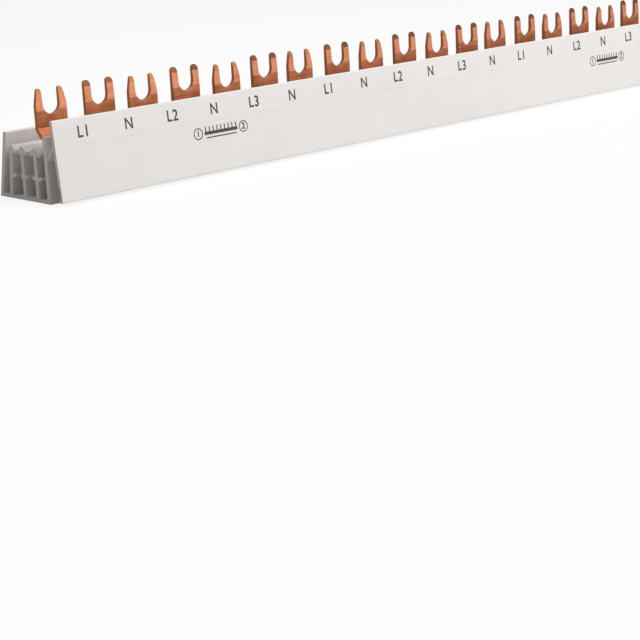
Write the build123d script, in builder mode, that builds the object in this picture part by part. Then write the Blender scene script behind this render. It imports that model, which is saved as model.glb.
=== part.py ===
from build123d import *
from math import atan2, cos, pi, radians, sin, tan
import os

os.makedirs("parts", exist_ok=True)

# Comb busbar: four copper combs standing in one extruded insulating profile.
# X runs along the bar, -Y is the printed cover side, +Z is the side of the forks.
# The origin is the middle of the flat underside. All sizes are in millimetres.

# Spacing of the poles along the bar
pole_pitch = 17.8
pole_count = 24
first_fork_inset = 7.2
neutral_offset = -0.35
neutral_stagger = 0.6

# Copper strip and fork
copper_t = 1.5
strip_height = 10.7
fork_width = 11.5
slot_width = 6.3
slot_depth = 8.1
fork_top_z = 35.95
neutral_drop = 0.85
neutral_step = 0.35
lead_in_height = 1.8
lead_in_depth = 0.7
coin_rise = 1.3
coin_depth = 0.3
neutral_taper_height = 5.0
neutral_taper = 1.0

# Stem and fold below each fork
bend_radius = 0.65
fold_end = 0.15
stem_shoulder = 1.75
stem_root_radius = 1.0
foot_clearance = 0.4
joggle_top_z = 23.0
joggle_height = 2.2
strip_end_inset = 5.0
strip_end_land = 1.5

# Insulating profile: base and walls
floor_t = 1.1
wall_t = 1.6
front_wall_inset = 6.6
front_wall_t = 1.65
front_wall_z = 21.2
back_wall_t = 1.5
back_wall_z = 21.1
back_wall_lean = 12.5
inner_wall_z = 17.2

# Channels between the walls, front to back, measured at the middle of the strips. The
# last wall and its strip lean forward, so that the comb passes inside the back wall.
neutral_channel = 4.15
phase_channel = 5.35
outer_channel = 3.2
outer_lean = 8.0
fork_plane_inset = 10.5
side_clearance = 0.35
outer_clearance = 0.6
strip_seat_gap = 0.2

# Barbs and ribs that guide the strips
barb_gap = 0.15
barb_drop = 1.7
barb_lip = 1.1
barb_hook = 0.3
rib_gap = 0.4
rib_z = 7.35
rib_height = 0.65
rib_taper = 1.0

# Cover plate, carried by its web and hooked inwards at its free lower edge
cover_z = 26.35
cover_lean = 2.5
cover_t = 1.25
lip_z = 1.0
hook_reach = 1.9
hook_height = 0.9
skirt_t = 0.8
skirt_z = 5.3
web_z = 17.7
web_fall = 4.3
web_t = 0.9
corner_radius = 0.4

# Positions worked out from the values above
profile_length = pole_pitch * pole_count
left_end = -profile_length / 2
strip_z = floor_t + strip_seat_gap
strip_top_z = strip_z + strip_height
strip_middle_z = strip_z + strip_height / 2
centre_radius = bend_radius + copper_t / 2
tine_width = (fork_width - slot_width) / 2
stem_width = fork_width - 2 * stem_shoulder


def leaning(y, lean, z):
    """Y at height z of a line through y at the strips' mid height that leans by lean degrees."""
    return y - (z - strip_middle_z) * tan(radians(lean))


# Faces of the walls at the strips' mid height, from the front wall to the back
profile_depth = (
    front_wall_inset + front_wall_t + neutral_channel + 2 * phase_channel + outer_channel
    + 3 * wall_t + back_wall_t + leaning(0, back_wall_lean, 0)
)
front_y = -profile_depth / 2
back_y = profile_depth / 2
fork_y = front_y + fork_plane_inset
front_wall_y = front_y + front_wall_inset
front_wall_back = front_wall_y + front_wall_t
wall_3_y = front_wall_back + neutral_channel
wall_2_y = wall_3_y + wall_t + phase_channel
wall_1_y = wall_2_y + wall_t + phase_channel
back_wall_y = wall_1_y + wall_t + outer_channel

shoulder_z = inner_wall_z - barb_drop

# Middle of each strip at its mid height, and its lean. The second phase's strip stands
# midway between the barbs of its channel.
strips = {
    "comb_neutral": (front_wall_back + side_clearance + copper_t / 2, 0),
    "comb_l1": (wall_3_y + wall_t + phase_channel / 2, 0),
    "comb_l2": ((wall_2_y + wall_t + leaning(wall_1_y, outer_lean, shoulder_z)) / 2, 0),
    "comb_l3": (wall_1_y + wall_t + outer_clearance + copper_t / 2, outer_lean),
}

# Insulating profile, one extrusion of grey PVC: a floor, five walls that make four
# channels, and the leaning cover plate carried by a thin web.
with BuildPart() as insulating_profile:
    with BuildSketch(Plane.YZ.offset(left_end)) as section:
        # floor and the leaning back wall
        with BuildLine():
            Polyline(
                (front_wall_y, 0),
                (back_y, 0),
                (leaning(back_wall_y, back_wall_lean, back_wall_z) + back_wall_t, back_wall_z),
                (leaning(back_wall_y, back_wall_lean, back_wall_z), back_wall_z),
                (leaning(back_wall_y, back_wall_lean, floor_t), floor_t),
                (front_wall_y, floor_t),
                close=True,
            )
        make_face()

        # inner walls with a pointed top, the last one leaning
        for wall_y, lean in [(wall_3_y, 0), (wall_2_y, 0), (wall_1_y, outer_lean)]:
            with BuildLine():
                Polyline(
                    (leaning(wall_y, lean, 0), 0),
                    (leaning(wall_y, lean, 0) + wall_t, 0),
                    (leaning(wall_y, lean, shoulder_z) + wall_t, shoulder_z),
                    (leaning(wall_y, lean, inner_wall_z) + wall_t / 2, inner_wall_z),
                    (leaning(wall_y, lean, shoulder_z), shoulder_z),
                    close=True,
                )
            make_face()

        # barbs and ribs: each is rooted in a wall and reaches almost to the strip in its
        # channel. A guide has its wall's face, lean and side, and the strip it reaches.
        guides = [
            (wall_3_y, 0, -1, "comb_neutral"),
            (wall_3_y + wall_t, 0, 1, "comb_l1"),
            (wall_2_y, 0, -1, "comb_l1"),
            (wall_2_y + wall_t, 0, 1, "comb_l2"),
            (wall_1_y, outer_lean, -1, "comb_l2"),
        ]
        barb_end_z = shoulder_z - barb_lip
        for face_y, lean, side, strip in [*guides, (wall_1_y + wall_t, outer_lean, 1, "comb_l3")]:
            root = -side * wall_t / 2
            gap = -side * (copper_t / 2 + barb_gap)
            with BuildLine():
                Polyline(
                    (leaning(face_y, lean, inner_wall_z) + root, inner_wall_z),
                    (leaning(*strips[strip], shoulder_z) + gap, shoulder_z),
                    (leaning(*strips[strip], barb_end_z) + gap, barb_end_z),
                    (leaning(face_y, lean, barb_end_z), barb_end_z + barb_hook),
                    (leaning(face_y, lean, barb_end_z) + root, barb_end_z + barb_hook),
                    close=True,
                )
            make_face()

        for face_y, lean, side, strip in [*guides, (back_wall_y, back_wall_lean, -1, "comb_l3")]:
            root = -side * wall_t / 2
            gap = -side * (copper_t / 2 + rib_gap)
            with BuildLine():
                Polyline(
                    (leaning(face_y, lean, rib_z) + root, rib_z - rib_taper),
                    (leaning(*strips[strip], rib_z) + gap, rib_z),
                    (leaning(*strips[strip], rib_z) + gap, rib_z + rib_height),
                    (leaning(face_y, lean, rib_z) + root, rib_z + rib_height),
                    close=True,
                )
            make_face()

        # upright front wall
        with BuildLine():
            Polyline(
                (front_wall_y, floor_t),
                (front_wall_back, floor_t),
                (front_wall_back, front_wall_z),
                (front_wall_y, front_wall_z),
                close=True,
            )
        make_face()

        # thin web that rises from the front wall to the cover
        cover_slope = cover_lean / (cover_z - lip_z)
        cover_at_web = front_y + cover_slope * (web_z - lip_z)
        web_wall_z = web_z - web_fall
        with BuildLine():
            Polyline(
                (front_wall_y + front_wall_t / 2, web_wall_z),
                (front_wall_y + front_wall_t / 2, web_wall_z + web_t),
                (front_wall_y, web_wall_z + web_t),
                (cover_at_web + cover_t, web_z + web_t),
                (cover_at_web + cover_t / 2, web_z + web_t),
                (cover_at_web + cover_t / 2, web_z),
                (cover_at_web + cover_t, web_z),
                (front_wall_y, web_wall_z),
                close=True,
            )
        make_face()

        # cover plate, leaning back to its top. Its skirt is thinner below skirt_z and ends
        # in a hook that points inwards.
        cover_at_skirt = front_y + cover_slope * (skirt_z - lip_z)
        hook_top_z = lip_z + hook_height
        with BuildLine():
            Polyline(
                (front_y, lip_z),
                (front_y + hook_reach, lip_z),
                (front_y + hook_reach, hook_top_z),
                (front_y + cover_slope * hook_height + skirt_t, hook_top_z),
                (cover_at_skirt + skirt_t, skirt_z),
                (cover_at_skirt + cover_t + cover_slope * cover_t, skirt_z + cover_t),
                (front_y + cover_lean + cover_t, cover_z),
                (front_y + cover_lean, cover_z),
                close=True,
            )
        make_face()

        # softened free edges of the cover and of the front and back walls
        free_ends = section.vertices().filter_by(
            lambda v: min(abs(v.Y - z) for z in (cover_z, lip_z, front_wall_z, back_wall_z)) < 0.01
        )
        fillet(free_ends, radius=corner_radius)
    extrude(amount=profile_length)

insulating_profile.part.label = "insulating_profile"
export_step(insulating_profile.part, "parts/insulating_profile.step")

# Forks that belong to each comb. Every other fork is neutral; the forks between them are
# L1, L2 and L3 in turn.
fork_numbers = {
    "comb_neutral": range(0, pole_count, 2),
    "comb_l1": range(1, pole_count, 6),
    "comb_l2": range(3, pole_count, 6),
    "comb_l3": range(5, pole_count, 6),
}

# Combs: each is punched from one copper strip and folded. The strip stands on edge in
# its channel, and each stem rises, folds over the walls and ends in an upright fork.
for node, (strip_y, lean) in strips.items():
    is_neutral = node == "comb_neutral"
    fork_middle_y = fork_y + copper_t / 2

    # place and height of each fork: the neutral forks differ a little in groups of three
    forks = []
    for number in fork_numbers[node]:
        x = left_end + first_fork_inset + number * pole_pitch
        step = (number // 2) % 3 - 1
        if is_neutral:
            forks.append(
                (
                    x + neutral_offset + neutral_stagger * step,
                    fork_top_z - neutral_drop - neutral_step * step,
                )
            )
        else:
            forks.append((x, fork_top_z))
    fork_xs = [x for x, _ in forks]

    # heights of the fold: the neutral strip joggles back to the forks above the front
    # wall, and the others cross over the inner walls on a level foot
    if is_neutral:
        plate_fold_z = joggle_top_z
        stem_fold_z = joggle_top_z - joggle_height
    else:
        plate_fold_z = inner_wall_z + foot_clearance + copper_t / 2
        stem_fold_z = plate_fold_z
    plate_z = plate_fold_z + 2 * centre_radius

    # the full fork width ends just below the lower bend, where the narrower stem starts
    turn = pi / 2 - atan2(plate_fold_z - stem_fold_z, fork_middle_y - strip_y)
    if not is_neutral:
        turn = pi / 2
    stem_top_z = stem_fold_z - centre_radius * tan(turn / 2) - fold_end

    strip_start = min(left_end + strip_end_inset, fork_xs[0] - stem_width / 2)
    strip_stop = max(-left_end - strip_end_inset, fork_xs[-1] + stem_width / 2 + strip_end_land)

    with BuildPart() as comb:
        # strip and stems in one flat outline, with the punch's round inner corners
        strip_plane = Plane(
            origin=(0, strip_y, strip_middle_z),
            x_dir=(1, 0, 0),
            z_dir=(0, -cos(radians(lean)), -sin(radians(lean))),
        )
        stem_length = (stem_top_z - strip_middle_z) / cos(radians(lean))
        with BuildSketch(strip_plane) as flat:
            with Locations(((strip_start + strip_stop) / 2, 0)):
                Rectangle(strip_stop - strip_start, strip_height)
            for x in fork_xs:
                with Locations((x, stem_length / 2)):
                    Rectangle(stem_width, stem_length)
            roots = flat.vertices().filter_by(
                lambda v: abs(v.Y - strip_height / 2) < 0.01
                and strip_start + 0.01 < v.X < strip_stop - 0.01
                and min(abs(abs(v.X - x) - stem_width / 2) for x in fork_xs) < 0.01
            )
            fillet(roots, radius=stem_root_radius)
        extrude(amount=copper_t / 2, both=True)

        # fold from the strip's plane to the plane of the forks, as wide as the forks
        with BuildSketch(*[Plane.YZ.offset(x) for x in fork_xs]) as fold:
            with BuildLine():
                FilletPolyline(
                    (leaning(strip_y, lean, stem_top_z), stem_top_z),
                    (leaning(strip_y, lean, stem_fold_z), stem_fold_z),
                    (fork_middle_y, plate_fold_z),
                    (fork_middle_y, plate_z),
                    radius=centre_radius,
                )
            trace(line_width=copper_t)
        extrude(amount=fork_width / 2, both=True)

        # upright forks, each with its round-bottomed slot
        with BuildSketch(Plane.XZ.offset(-(fork_y + copper_t))) as blades:
            for x, top_z in forks:
                slot_centre_z = top_z - slot_depth + slot_width / 2
                with BuildSketch(mode=Mode.PRIVATE) as blade:
                    if is_neutral:
                        with BuildLine():
                            Polyline(
                                (x - fork_width / 2, plate_z),
                                (x + fork_width / 2, plate_z),
                                (x + fork_width / 2, top_z - neutral_taper_height),
                                (x + fork_width / 2 - neutral_taper, top_z),
                                (x - fork_width / 2 + neutral_taper, top_z),
                                (x - fork_width / 2, top_z - neutral_taper_height),
                                close=True,
                            )
                        make_face()
                    else:
                        with Locations((x, (plate_z + top_z) / 2)):
                            Rectangle(fork_width, top_z - plate_z)
                    with Locations((x, slot_centre_z)):
                        Circle(slot_width / 2, mode=Mode.SUBTRACT)
                    with Locations((x, (slot_centre_z + top_z) / 2)):
                        Rectangle(slot_width, top_z - slot_centre_z, mode=Mode.SUBTRACT)
                    tip_width = tine_width - (neutral_taper if is_neutral else 0)
                    fillet(blade.vertices().group_by(Axis.Y)[-1], radius=0.42 * tip_width)
                add(blade.sketch)
        extrude(amount=copper_t)

        # coined tines: the front face leans back from the crease, then bevels to the tip
        for x, top_z in forks:
            crease_z = top_z - slot_depth + coin_rise
            with BuildSketch(Plane.YZ.offset(x)) as coining:
                with BuildLine():
                    Polyline(
                        (fork_y, crease_z),
                        (fork_y + coin_depth, top_z - lead_in_height),
                        (fork_y + coin_depth + lead_in_depth, top_z),
                        (fork_y - copper_t, top_z),
                        (fork_y - copper_t, crease_z),
                        close=True,
                    )
                make_face()
            extrude(amount=fork_width / 2, both=True, mode=Mode.SUBTRACT)

    comb.part.label = node
    export_step(comb.part, f"parts/{node}.step")
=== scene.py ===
import math

import bmesh
import bpy
from mathutils import Euler, Matrix, Vector


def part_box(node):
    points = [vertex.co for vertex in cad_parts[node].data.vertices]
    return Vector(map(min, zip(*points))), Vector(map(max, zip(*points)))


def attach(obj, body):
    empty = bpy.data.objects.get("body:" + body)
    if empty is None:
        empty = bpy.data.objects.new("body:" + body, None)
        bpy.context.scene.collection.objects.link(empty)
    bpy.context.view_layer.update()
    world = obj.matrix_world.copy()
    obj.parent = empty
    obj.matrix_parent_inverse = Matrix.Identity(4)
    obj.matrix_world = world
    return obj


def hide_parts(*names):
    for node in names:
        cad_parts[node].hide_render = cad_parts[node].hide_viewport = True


# Comb busbar: four copper combs in a light-grey insulating profile. The row frame has X
# along the bar, -Y towards the printed cover and +Z towards the forks, in metres.
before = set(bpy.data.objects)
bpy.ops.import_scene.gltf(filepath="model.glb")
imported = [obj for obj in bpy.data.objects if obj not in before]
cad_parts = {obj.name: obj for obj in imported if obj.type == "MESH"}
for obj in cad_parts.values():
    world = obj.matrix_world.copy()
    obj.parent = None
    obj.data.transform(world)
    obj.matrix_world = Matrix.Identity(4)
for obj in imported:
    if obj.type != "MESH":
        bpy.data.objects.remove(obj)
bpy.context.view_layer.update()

# Insulating profile: rigid PVC extruded through one die, with four channels and a leaning
# cover on a thin web. The die leaves fine lines along it and a score line where the web
# joins the cover, and the saw that cuts it to length leaves its two ends rougher. The ends'
# darker grey is painted shade.
PVC_HEX = "E5E1DF"
PVC_SHADE_HEX = "DDD9D6"
# the saw-cut ends' darker grey is painted shade; their roughness and saw marks come from the cut
SAWN_SHADED_HEX = "CFCBC6"
DIE_LINE_MM = (250, 0.35, 0.35)
CLOUD_MM = 16.7
SAW_MARK_MM = 3.14
SAW_SLANT_DEG = 20
BURR_MM = 0.667
TEXTURE_DEPTH_MM = 0.1
EXTRUDED, SAWN_SHADED = range(2)
WELD_MM = 0.001
FLAT_DEG = 1
CREASE_DEG = 30
CORNER_DEG = 50
PROFILE_EDGE_MM = 0.12
# a face looks a way when more than this share of its normal points there
FACES_FRONT = 0.9
FACES_END = 0.99
COVER_LEAN_MM = 4
SCORE_Z_MM = 17.7
SCORE_HALF_MM = 0.16
SCORE_DEPTH_MM = 0.14


def linear(hex_colour):
    """The linear colour of an sRGB hex value."""
    channels = [int(hex_colour[i : i + 2], 16) / 255 for i in (0, 2, 4)]
    return [c / 12.92 if c <= 0.04045 else ((c + 0.055) / 1.055) ** 2.4 for c in channels] + [1.0]


def add_node(tree, kind, settings=None, **links):
    """One node with its settings; each socket, by name or as i0, i1, gets a value or a link."""
    node = tree.nodes.new(kind)
    for name, value in (settings or {}).items():
        setattr(node, name, value)
    for name, value in links.items():
        socket = node.inputs[int(name[1:])] if name[1:].isdigit() else node.inputs[name.replace("_", " ")]
        if isinstance(value, bpy.types.NodeSocket):
            tree.links.new(value, socket)
        else:
            socket.default_value = value
    return node


def new_material(name):
    """A material with an empty node tree, and that tree."""
    material = bpy.data.materials.new(name)
    material.use_nodes = True
    material.node_tree.nodes.clear()
    return material, material.node_tree


def extruded_pvc():
    """Light-grey rigid PVC: satin, with die lines along X and a faint cloudiness."""
    material, tree = new_material("extruded_rigid_pvc")
    place = add_node(tree, "ShaderNodeTexCoord").outputs["Object"]
    # real die lines are much finer: these are drawn coarser so that they show
    along = add_node(tree, "ShaderNodeMapping", i0=place, Scale=[1000 / size for size in DIE_LINE_MM])
    lines = add_node(tree, "ShaderNodeTexNoise", i0=along.outputs[0], Scale=1.0, Detail=2.0)
    cloud = add_node(tree, "ShaderNodeTexNoise", i0=place, Scale=1000 / CLOUD_MM, Detail=3.0)
    tint = add_node(
        tree,
        "ShaderNodeMix",
        {"data_type": "RGBA"},
        i0=cloud.outputs["Fac"],
        i6=linear(PVC_SHADE_HEX),
        i7=linear(PVC_HEX),
    )
    rough = add_node(tree, "ShaderNodeMapRange", Value=lines.outputs["Fac"], To_Min=0.42, To_Max=0.52)
    bump = add_node(
        tree, "ShaderNodeBump", Height=lines.outputs["Fac"], Strength=0.1, Distance=TEXTURE_DEPTH_MM / 1000
    )
    shader = add_node(
        tree,
        "ShaderNodeBsdfPrincipled",
        Base_Color=tint.outputs[2],
        Roughness=rough.outputs[0],
        IOR=1.53,
        Normal=bump.outputs[0],
    )
    add_node(tree, "ShaderNodeOutputMaterial", Surface=shader.outputs[0])
    return material


def sawn_pvc_painted_shade():
    """The same PVC where the saw has cut it: matt, with slanting saw marks, and a darker grey that is
    painted shade.
    """
    material, tree = new_material("sawn_rigid_pvc_painted_shade")
    place = add_node(tree, "ShaderNodeTexCoord").outputs["Object"]
    slant = add_node(tree, "ShaderNodeMapping", i0=place, Rotation=(math.radians(SAW_SLANT_DEG), 0, 0))
    # the wave texture has one band in every 2 pi / 20 of its own units, and the marks are
    # drawn further apart than a real saw leaves them, so that they show
    marks = add_node(
        tree,
        "ShaderNodeTexWave",
        {"bands_direction": "Y"},
        i0=slant.outputs[0],
        Scale=math.tau / 20 * 1000 / SAW_MARK_MM,
        Distortion=2.5,
        Detail=3.0,
    )
    burr = add_node(tree, "ShaderNodeTexNoise", i0=place, Scale=1000 / BURR_MM, Detail=3.0)
    tint = add_node(
        tree,
        "ShaderNodeMix",
        {"data_type": "RGBA"},
        i0=burr.outputs["Fac"],
        i6=linear(PVC_SHADE_HEX),
        i7=linear(SAWN_SHADED_HEX),
    )
    bump = add_node(
        tree, "ShaderNodeBump", Height=marks.outputs["Fac"], Strength=0.3, Distance=TEXTURE_DEPTH_MM / 1000
    )
    shader = add_node(
        tree,
        "ShaderNodeBsdfPrincipled",
        Base_Color=tint.outputs[2],
        Roughness=0.75,
        IOR=1.53,
        Normal=bump.outputs[0],
    )
    add_node(tree, "ShaderNodeOutputMaterial", Surface=shader.outputs[0])
    return material


def welded_copy(node_name):
    """A CAD node's shape as one welded mesh of flat faces, open for more work."""
    shape = bmesh.new()
    shape.from_mesh(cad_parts[node_name].data)
    bmesh.ops.remove_doubles(shape, verts=shape.verts, dist=WELD_MM / 1000)
    bmesh.ops.dissolve_limit(
        shape, angle_limit=math.radians(FLAT_DEG), verts=shape.verts, edges=shape.edges
    )
    shape.normal_update()
    return shape


def finished_piece(shape, piece_name, radius_mm, creases, materials):
    """The piece made from a shape: its corners rounded, its creases kept and the rest smooth."""
    weight = shape.edges.layers.float.new("bevel_weight_edge")
    for edge in shape.edges:
        corner = edge.calc_face_angle(0.0) > math.radians(CORNER_DEG)
        edge[weight] = 1.0 if corner else 0.0
        edge.smooth = not (corner or creases(edge))
    for face in shape.faces:
        face.smooth = True
    mesh = bpy.data.meshes.new(piece_name)
    shape.to_mesh(mesh)
    shape.free()
    for material in materials:
        mesh.materials.append(material)
    piece = bpy.data.objects.new(piece_name, mesh)
    bpy.context.scene.collection.objects.link(piece)
    rounding = piece.modifiers.new("rounded_corners", "BEVEL")
    rounding.width = radius_mm / 1000
    rounding.segments = 2
    rounding.limit_method = "WEIGHT"
    rounding.harden_normals = True
    return piece


shape = welded_copy("insulating_profile")
front_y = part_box("insulating_profile")[0][1]
cover = max(
    (
        face
        for face in shape.faces
        if -face.normal.y > FACES_FRONT
        and face.calc_center_median().y < front_y + COVER_LEAN_MM / 1000
    ),
    key=lambda face: face.calc_area(),
)
cover_place, cover_facing = cover.calc_center_median(), cover.normal.copy()


def on_cover(place):
    """Whether a place lies in the outer face of the cover."""
    return abs((place - cover_place).dot(cover_facing)) < WELD_MM / 1000


# the score line: three cuts across the cover's outer face, the middle one pushed in
for height_mm in (SCORE_Z_MM - SCORE_HALF_MM, SCORE_Z_MM, SCORE_Z_MM + SCORE_HALF_MM):
    front = [face for face in shape.faces if all(on_cover(corner.co) for corner in face.verts)]
    parts = {part for face in front for part in (*face.edges, *face.verts)}
    bmesh.ops.bisect_plane(
        shape, geom=[*front, *parts], plane_co=(0, 0, height_mm / 1000), plane_no=(0, 0, 1)
    )
for point in shape.verts:
    if abs(point.co.z - SCORE_Z_MM / 1000) < WELD_MM / 1000 and on_cover(point.co):
        point.co -= cover_facing * SCORE_DEPTH_MM / 1000
shape.normal_update()
for face in shape.faces:
    # the end faces get the sawn PVC, whose darker grey is painted shade
    face.material_index = SAWN_SHADED if abs(face.normal.x) > FACES_END else EXTRUDED
profile = finished_piece(
    shape,
    "grey_profile",
    PROFILE_EDGE_MM,
    lambda edge: edge.calc_face_angle(0.0) > math.radians(CREASE_DEG),
    [extruded_pvc(), sawn_pvc_painted_shade()],
)
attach(profile, "root")
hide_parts("insulating_profile")

# Print on the cover: dark-grey marking ink, put on in one pass along the bar. There is one
# conductor mark to each fork, and under the score line a small comb between two numbered
# rings comes back twice, as a picture of the two ends that may be joined.
INK_HEX = "343332"
THIN_INK_HEX = "5A5856"
SPECK_MM = 0.4
INK_LIFT_MM = 0.02
MARKS = ("L1", "N", "L2", "N", "L3", "N")
POLE_PITCH_MM = 17.8
FIRST_MARK_MM = 11.3
MARK_Z_MM = 21.68
CAP_HEIGHT_MM = 3.55
CAP_HEIGHT_OF_SIZE = 0.7
LETTER_SPACING = 1.14
LETTER_WIDTH = 0.9
STROKE_SPREAD_MM = 0.14
PICTURE_MM = 66.6
PICTURE_Z_MM = 14.2
PICTURE_EVERY_POLES = 12
PICTURE_COUNT = 2
COMB_MM = (14.4, 1.1)
TOOTH_MM = (0.45, 1.8)
TOOTH_PITCH_MM = 1.65
TOOTH_COUNT = 9
TOOTH_RISE_MM = 1.3
UNDERLINE_MM = (13.2, 0.4)
UNDERLINE_DROP_MM = 1.5
RING_RADII_MM = (1.95, 1.6)
RING_PLACE_MM = (9.9, 0.2)
DIGIT_HEIGHT_MM = 2.0


def marking_ink():
    """Dark-grey marking ink on PVC: nearly matt, and greyer in the specks where it is thin."""
    material, tree = new_material("marking_ink")
    place = add_node(tree, "ShaderNodeTexCoord").outputs["Object"]
    speck = add_node(tree, "ShaderNodeTexNoise", i0=place, Scale=1000 / SPECK_MM, Detail=2.0)
    thin = add_node(tree, "ShaderNodeMapRange", Value=speck.outputs["Fac"], From_Min=0.55, From_Max=0.8)
    tint = add_node(
        tree,
        "ShaderNodeMix",
        {"data_type": "RGBA"},
        i0=thin.outputs[0],
        i6=linear(INK_HEX),
        i7=linear(THIN_INK_HEX),
    )
    shader = add_node(
        tree, "ShaderNodeBsdfPrincipled", Base_Color=tint.outputs[2], Roughness=0.6, IOR=1.5
    )
    add_node(tree, "ShaderNodeOutputMaterial", Surface=shader.outputs[0])
    return material


print_tree = bpy.data.node_groups.new("print_on_cover", "GeometryNodeTree")
sizes_mm = {
    "Pole pitch": POLE_PITCH_MM,
    "First mark": FIRST_MARK_MM,
    "Cap height": CAP_HEIGHT_MM,
    "Stroke spread": STROKE_SPREAD_MM,
    "Picture place": PICTURE_MM,
    "Picture repeat": POLE_PITCH_MM * PICTURE_EVERY_POLES,
    "Picture drop": MARK_Z_MM - PICTURE_Z_MM,
}
sockets = {}
for name in sizes_mm:
    sockets[name] = print_tree.interface.new_socket(name, in_out="INPUT", socket_type="NodeSocketFloat")
print_tree.interface.new_socket("Print", in_out="OUTPUT", socket_type="NodeSocketGeometry")
given = add_node(print_tree, "NodeGroupInput").outputs


def worked_out(operation, a, b):
    """A length worked out from two others."""
    return add_node(print_tree, "ShaderNodeMath", {"operation": operation}, i0=a, i1=b).outputs[0]


def point_at(x, y):
    """A place on the print's plane."""
    return add_node(print_tree, "ShaderNodeCombineXYZ", i0=x, i1=y).outputs[0]


def lettering(word, height):
    """A word in narrow upright letters, centred, as filled outlines spread to broad strokes."""
    letters = add_node(
        print_tree,
        "GeometryNodeStringToCurves",
        {"align_x": "CENTER", "align_y": "MIDDLE"},
        String=word,
        Size=worked_out("DIVIDE", height, CAP_HEIGHT_OF_SIZE),
        Character_Spacing=LETTER_SPACING,
    )
    outlines = add_node(print_tree, "GeometryNodeRealizeInstances", i0=letters.outputs[0])
    level = add_node(print_tree, "GeometryNodeSetCurveNormal", {"mode": "Z_UP"}, Curve=outlines.outputs[0])
    outwards = add_node(
        print_tree,
        "ShaderNodeVectorMath",
        {"operation": "SCALE"},
        i0=add_node(print_tree, "GeometryNodeInputNormal").outputs[0],
        Scale=given["Stroke spread"],
    )
    broad = add_node(
        print_tree, "GeometryNodeSetPosition", Geometry=level.outputs[0], Offset=outwards.outputs[0]
    )
    filled = add_node(print_tree, "GeometryNodeFillCurve", i0=broad.outputs[0])
    return add_node(
        print_tree, "GeometryNodeTransform", i0=filled.outputs[0], Scale=(LETTER_WIDTH, 1, 1)
    ).outputs[0]


def repeated(flat_shape, count, first, step):
    """A flat shape repeated in a row from its first place, one step apart."""
    row = add_node(print_tree, "GeometryNodeMeshLine", Count=count, Start_Location=first, Offset=step)
    return add_node(
        print_tree, "GeometryNodeInstanceOnPoints", Points=row.outputs[0], Instance=flat_shape
    ).outputs[0]


# the conductor marks, each repeated in every cycle of the poles
printed_shapes = add_node(print_tree, "GeometryNodeJoinGeometry")
cycle = worked_out("MULTIPLY", given["Pole pitch"], float(len(MARKS)))
left_x, right_x = (corner[0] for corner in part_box("insulating_profile"))
cycle_count = round((right_x - left_x) * 1000 / (POLE_PITCH_MM * len(MARKS)))
for number, word in enumerate(MARKS):
    from_first = worked_out("MULTIPLY", given["Pole pitch"], float(number))
    first = point_at(worked_out("ADD", given["First mark"], from_first), 0.0)
    marks = repeated(lettering(word, given["Cap height"]), cycle_count, first, point_at(cycle, 0.0))
    print_tree.links.new(marks, printed_shapes.inputs[0])

# the picture: a comb with its underline, and a numbered ring at either end
picture = add_node(print_tree, "GeometryNodeJoinGeometry")
comb_bar = add_node(
    print_tree, "GeometryNodeMeshGrid", Size_X=COMB_MM[0], Size_Y=COMB_MM[1], Vertices_X=2, Vertices_Y=2
)
tooth = add_node(
    print_tree, "GeometryNodeMeshGrid", Size_X=TOOTH_MM[0], Size_Y=TOOTH_MM[1], Vertices_X=2, Vertices_Y=2
)
first_tooth = (-TOOTH_PITCH_MM * (TOOTH_COUNT - 1) / 2, TOOTH_RISE_MM, 0)
teeth = repeated(tooth.outputs[0], TOOTH_COUNT, first_tooth, (TOOTH_PITCH_MM, 0, 0))
line = add_node(
    print_tree,
    "GeometryNodeMeshGrid",
    Size_X=UNDERLINE_MM[0],
    Size_Y=UNDERLINE_MM[1],
    Vertices_X=2,
    Vertices_Y=2,
)
underline = add_node(
    print_tree, "GeometryNodeTransform", i0=line.outputs[0], Translation=(0, -UNDERLINE_DROP_MM, 0)
)
for flat_shape in (comb_bar.outputs[0], teeth, underline.outputs[0]):
    print_tree.links.new(flat_shape, picture.inputs[0])
for side, digit in ((-1, "1"), (1, "2")):
    rim = add_node(print_tree, "GeometryNodeJoinGeometry")
    for radius in RING_RADII_MM:
        circle = add_node(print_tree, "GeometryNodeCurvePrimitiveCircle", Resolution=32, Radius=radius)
        print_tree.links.new(circle.outputs[0], rim.inputs[0])
    ring = add_node(print_tree, "GeometryNodeFillCurve", i0=rim.outputs[0])
    numbered_ring = add_node(print_tree, "GeometryNodeJoinGeometry")
    print_tree.links.new(ring.outputs[0], numbered_ring.inputs[0])
    print_tree.links.new(lettering(digit, DIGIT_HEIGHT_MM), numbered_ring.inputs[0])
    placed = add_node(
        print_tree,
        "GeometryNodeTransform",
        i0=numbered_ring.outputs[0],
        Translation=(side * RING_PLACE_MM[0], RING_PLACE_MM[1], 0),
    )
    print_tree.links.new(placed.outputs[0], picture.inputs[0])
below_marks = worked_out("MULTIPLY", given["Picture drop"], -1.0)
pictures = repeated(
    picture.outputs[0],
    PICTURE_COUNT,
    point_at(given["Picture place"], below_marks),
    point_at(given["Picture repeat"], 0.0),
)
print_tree.links.new(pictures, printed_shapes.inputs[0])
real = add_node(print_tree, "GeometryNodeRealizeInstances", i0=printed_shapes.outputs[0])
inked = add_node(print_tree, "GeometryNodeSetMaterial", i0=real.outputs[0], Material=marking_ink())
add_node(print_tree, "NodeGroupOutput", i0=inked.outputs[0])

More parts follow.
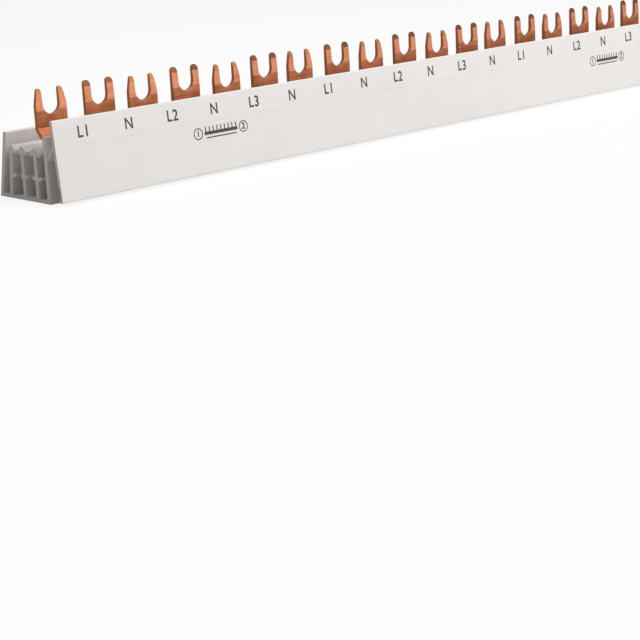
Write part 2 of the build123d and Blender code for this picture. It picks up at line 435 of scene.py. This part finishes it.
# the tree is run once on an empty carrier, and its result becomes a plain mesh on the cover
carrier = bpy.data.objects.new("print_carrier", bpy.data.meshes.new("print_carrier"))
bpy.context.scene.collection.objects.link(carrier)
maker = carrier.modifiers.new("print_on_cover", "NODES")
maker.node_group = print_tree
for name, size in sizes_mm.items():
    maker[sockets[name].identifier] = size
evaluated = carrier.evaluated_get(bpy.context.evaluated_depsgraph_get())
print_mesh = bpy.data.meshes.new_from_object(evaluated)
bpy.data.objects.remove(carrier)
lean = math.atan2(cover_facing.z, -cover_facing.y)
print_start = Vector((left_x, 0, MARK_Z_MM / 1000))
print_start.y = cover_place.y + (print_start.z - cover_place.z) * math.tan(lean)
print_mesh.transform(
    Matrix.Translation(print_start + cover_facing * INK_LIFT_MM / 1000)
    @ Matrix.Rotation(math.pi / 2 - lean, 4, "X")
    @ Matrix.Scale(0.001, 4)
)
printed = bpy.data.objects.new("printed_marks", print_mesh)
bpy.context.scene.collection.objects.link(printed)
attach(printed, "root")

# Copper combs: each one is punched from rolled copper strip and folded. Its faces carry the
# grain of the rolls, and its cut edges carry shear marks and a darker colour, which is
# painted shade. The tines are pressed thinner and smoother, and their fronts, which look up
# a little, are lighter as painted light; the bevelled lead-in at the tips of the phase forks is
# darker as painted shade.
ROLLED_HEX = "BE7B58"
ROLLED_DARK_HEX = "985739"
# the tine fronts' lighter copper is painted light; only their lower roughness comes from the pressing
COINED_LIT_HEX = "D08B69"
COINED_LIT_DARK_HEX = "B87252"
# the cut edges' darker copper: painted shade on the faces turned from the lamp
CUT_SHADED_HEX = "94603F"
CUT_SHADED_DARK_HEX = "7E4D31"
# the lead-in's dark copper: painted shade on the bevels
LEAD_IN_SHADED_HEX = "66462F"
LEAD_IN_SHADED_DARK_HEX = "4A3122"
ROLL_GRAIN_MM = (16, 0.25, 0.25)
SHEAR_MARK_MM = (0.3, 4, 0.3)
TARNISH_MM = 3.85
GRAIN_DEPTH_MM = 0.1
ROLLED, CUT_SHADED, COINED_LIT, LEAD_IN_SHADED = range(4)
PUNCH_ROUND_MM = 0.1
FOLD_Z_MM = (13, 30)
CREASE_Z_MM = 28
# shares of a face's normal, as for the profile, and how far the tines' fronts look up
FACES_SIDE = 0.03
FACES_UP_OR_DOWN = 0.9
FACES_FORWARD = 0.5
LIT_TINE_LEAN = 0.02
LEAD_IN_LEAN = 0.25


def bare_copper(name, light_hex, dark_hex, grain_mm, rough_low, rough_high):
    """Bare copper, faintly tarnished, with the fine grain that its making leaves in its face."""
    material, tree = new_material(name)
    place = add_node(tree, "ShaderNodeTexCoord").outputs["Object"]
    # the real grain is much finer: it is drawn coarser so that it shows
    along = add_node(tree, "ShaderNodeMapping", i0=place, Scale=[1000 / size for size in grain_mm])
    grain = add_node(tree, "ShaderNodeTexNoise", i0=along.outputs[0], Scale=1.0, Detail=3.0)
    tarnish = add_node(tree, "ShaderNodeTexNoise", i0=place, Scale=1000 / TARNISH_MM, Detail=4.0)
    blend = add_node(
        tree,
        "ShaderNodeMath",
        {"operation": "MULTIPLY"},
        i0=tarnish.outputs["Fac"],
        i1=grain.outputs["Fac"],
    )
    spread = add_node(tree, "ShaderNodeMapRange", Value=blend.outputs[0], From_Min=0.12, From_Max=0.38)
    tint = add_node(
        tree,
        "ShaderNodeMix",
        {"data_type": "RGBA"},
        i0=spread.outputs[0],
        i6=linear(dark_hex),
        i7=linear(light_hex),
    )
    rough = add_node(
        tree, "ShaderNodeMapRange", Value=grain.outputs["Fac"], To_Min=rough_low, To_Max=rough_high
    )
    bump = add_node(
        tree, "ShaderNodeBump", Height=grain.outputs["Fac"], Strength=0.15, Distance=GRAIN_DEPTH_MM / 1000
    )
    shader = add_node(
        tree,
        "ShaderNodeBsdfPrincipled",
        Base_Color=tint.outputs[2],
        Metallic=1.0,
        Roughness=rough.outputs[0],
        Normal=bump.outputs[0],
    )
    add_node(tree, "ShaderNodeOutputMaterial", Surface=shader.outputs[0])
    return material


# in the order of their numbers: rolled faces, punched edges with shear marks through the
# strip's thickness and darker as painted shade, pressed tines lighter as painted light, and
# the lead-in darker as painted shade
coppers = [
    bare_copper("rolled_copper", ROLLED_HEX, ROLLED_DARK_HEX, ROLL_GRAIN_MM, 0.42, 0.54),
    bare_copper("punched_copper_edge_painted_shade", CUT_SHADED_HEX, CUT_SHADED_DARK_HEX, SHEAR_MARK_MM, 0.46, 0.58),
    bare_copper("coined_copper_painted_light", COINED_LIT_HEX, COINED_LIT_DARK_HEX, ROLL_GRAIN_MM, 0.32, 0.44),
    bare_copper("lead_in_copper_painted_shade", LEAD_IN_SHADED_HEX, LEAD_IN_SHADED_DARK_HEX, ROLL_GRAIN_MM, 0.42, 0.55),
]


def copper_finish(face, is_neutral):
    """Which copper a face of a comb gets, from the way it faces and its height; the cut and lead-in
    coppers are darker as painted shade and the tine copper lighter as painted light.
    """
    facing, z_mm = face.normal, face.calc_center_median().z * 1000
    in_fold = FOLD_Z_MM[0] < z_mm < FOLD_Z_MM[1]
    on_tine_front = z_mm > CREASE_Z_MM and -facing.y > FACES_FORWARD
    # sideways faces, and faces looking up or down outside the fold, get the cut-edge copper, darker as
    # painted shade
    if abs(facing.x) > FACES_SIDE or (abs(facing.z) > FACES_UP_OR_DOWN and not in_fold):
        return CUT_SHADED
    # tine fronts that look up steeply, the lead-in bevels, get dark copper as painted shade
    if on_tine_front and facing.z > LEAD_IN_LEAN:
        return CUT_SHADED if is_neutral else LEAD_IN_SHADED
    # tine fronts that look up a little get lighter copper as painted light
    if on_tine_front and facing.z > LIT_TINE_LEAN:
        return COINED_LIT
    return ROLLED


for pole in ("neutral", "l1", "l2", "l3"):
    shape = welded_copy("comb_" + pole)
    for face in shape.faces:
        face.material_index = copper_finish(face, pole == "neutral")
    comb = finished_piece(
        shape,
        "copper_comb_" + pole,
        PUNCH_ROUND_MM,
        lambda edge: len({face.material_index for face in edge.link_faces}) > 1,
        coppers,
    )
    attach(comb, "root")
    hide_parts("comb_" + pole)

# Studio: a pale floor, a large soft lamp in front and above, a weak one overhead and a dim
# room. Camera and glossy rays see the floor and the room as white, and the floor keeps
# the bar's soft shadow.
FLOOR_HALF_M = 6.0
PAPER_HEX = "FAFAF9"
BOUNCE_HEX = "CBCAC8"
SHADOWLESS_SHARE = 0.84
ROOM_STRENGTH = 0.25


def is_seen(tree):
    """1 for the rays that see a surface, straight or mirrored, and 0 for the rest."""
    rays = add_node(tree, "ShaderNodeLightPath").outputs
    return add_node(
        tree,
        "ShaderNodeMath",
        {"operation": "MAXIMUM"},
        i0=rays["Is Camera Ray"],
        i1=rays["Is Glossy Ray"],
    ).outputs[0]


def soft_lamp(name, place, aim, size, power):
    """A square soft lamp at a place, turned to what it lights, in metres and watts."""
    lamp = bpy.data.lights.new(name, "AREA")
    lamp.size = size
    lamp.energy = power
    holder = bpy.data.objects.new(name, lamp)
    bpy.context.scene.collection.objects.link(holder)
    holder.location = place
    holder.rotation_euler = (Vector(aim) - Vector(place)).to_track_quat("-Z", "Y").to_euler()


floor_mesh = bpy.data.meshes.new("studio_floor")
floor_mesh.from_pydata(
    [(x * FLOOR_HALF_M, y * FLOOR_HALF_M, 0.0) for x, y in ((-1, -1), (1, -1), (1, 1), (-1, 1))],
    [],
    [(0, 1, 2, 3)],
)
floor = bpy.data.objects.new("studio_floor", floor_mesh)
bpy.context.scene.collection.objects.link(floor)
# pale studio paper: mostly white light where it is seen, and a greyer paper to other rays
floor_material, tree = new_material("pale_studio_floor")
paper = add_node(tree, "ShaderNodeBsdfDiffuse", Color=linear(PAPER_HEX))
glow = add_node(tree, "ShaderNodeEmission", Color=(1, 1, 1, 1), Strength=1.0)
white = add_node(tree, "ShaderNodeMixShader", i0=SHADOWLESS_SHARE, i1=paper.outputs[0], i2=glow.outputs[0])
bounce = add_node(tree, "ShaderNodeBsdfDiffuse", Color=linear(BOUNCE_HEX))
either = add_node(tree, "ShaderNodeMixShader", i0=is_seen(tree), i1=bounce.outputs[0], i2=white.outputs[0])
add_node(tree, "ShaderNodeOutputMaterial", Surface=either.outputs[0])
floor_mesh.materials.append(floor_material)

world = bpy.data.worlds.new("studio_room")
bpy.context.scene.world = world
world.use_nodes = True
tree = world.node_tree
tree.nodes.clear()
strength = add_node(tree, "ShaderNodeMapRange", Value=is_seen(tree), To_Min=ROOM_STRENGTH, To_Max=1.0)
room = add_node(tree, "ShaderNodeBackground", Color=(1, 1, 1, 1), Strength=strength.outputs[0])
add_node(tree, "ShaderNodeOutputWorld", Surface=room.outputs[0])

soft_lamp("front_lamp", place=(0.35, -1.1, 0.75), aim=(0, 0, 0.02), size=0.9, power=15.5)
soft_lamp("top_lamp", place=(-0.1, 0.1, 1.2), aim=(0, 0, 0), size=0.8, power=5)

# Camera: in front of the bar's left end and above it, turned so that the bar runs away
# to the right. The values are those that put the fork tips where the photograph has them.
CAMERA_PLACE_M = (-0.506913, -0.43702, 0.098005)
CAMERA_TURN_DEG = 43.592
CAMERA_PITCH_DEG = 15.221
CAMERA_ROLL_DEG = -2.731
SENSOR_MM = 36.0
PHOTO_PX = 640
FOCAL_PX = 1672.57

camera_data = bpy.data.cameras.new("photo_camera")
camera_data.sensor_width = SENSOR_MM
camera_data.lens = FOCAL_PX * SENSOR_MM / PHOTO_PX
camera_data.clip_start = 0.01
camera_data.clip_end = 50.0
camera = bpy.data.objects.new("photo_camera", camera_data)
bpy.context.scene.collection.objects.link(camera)
facing = Euler((math.radians(90 - CAMERA_PITCH_DEG), 0, math.radians(-CAMERA_TURN_DEG)))
camera.matrix_world = (
    Matrix.Translation(CAMERA_PLACE_M)
    @ facing.to_matrix().to_4x4()
    @ Matrix.Rotation(math.radians(CAMERA_ROLL_DEG), 4, "Z")
)
bpy.context.scene.camera = camera
bpy.context.scene.view_settings.view_transform = "Standard"
